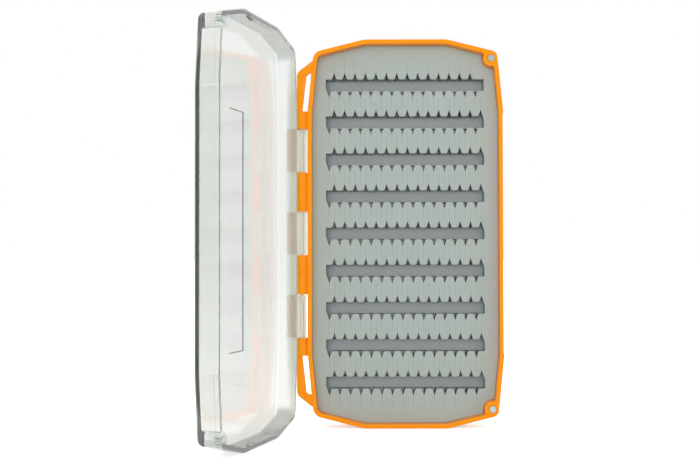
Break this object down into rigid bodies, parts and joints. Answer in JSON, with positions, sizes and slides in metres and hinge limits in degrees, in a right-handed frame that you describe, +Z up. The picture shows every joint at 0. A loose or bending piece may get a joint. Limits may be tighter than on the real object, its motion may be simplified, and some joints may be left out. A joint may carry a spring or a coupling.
{
  "type": "fly box",
  "caption": "Slim fly box standing open on its end: tray with toothed slit foam, clear lid on a pin hinge, corner magnets that hold it shut, lanyard slots in the hinge flange.",
  "frame": {"origin": "middle of the tray's lower end face, where the box stands", "axes": "+Z up along the box's length, +X from the hinge side to the latch side, -Y out of the tray's open mouth"},
  "size_m": [0.1382, 0.1104, 0.1905],
  "materials": {
    "orange_plastic": "satin moulded polypropylene",
    "clear_plastic": "clear moulded polycarbonate, slightly smoky",
    "foam_light": "closed-cell foam, matt",
    "foam_dark": "closed-cell foam, matt",
    "film": "double-sided adhesive film",
    "magnet": "nickel-plated",
    "steel": "drawn stainless steel"
  },
  "bodies": {
    "base": {"base_shell": "orange_plastic", "hinge_pin": "steel", "base_magnet_upper": "magnet", "base_magnet_lower": "magnet", "slit_foam": "foam_light", "foam_backing": "foam_dark", "foam_film": "film"},
    "lid": {"lid_shell": "clear_plastic", "lid_magnet_upper": "magnet", "lid_magnet_lower": "magnet"}
  },
  "joints": [
    {"name": "lid_hinge", "type": "hinge", "parent": "base", "child": "lid", "pos_m": [-0.05085, -0.0075, 0.09525], "axis": [0, 0, -1], "range_deg": [-106.4, 73.6]}
  ]
}
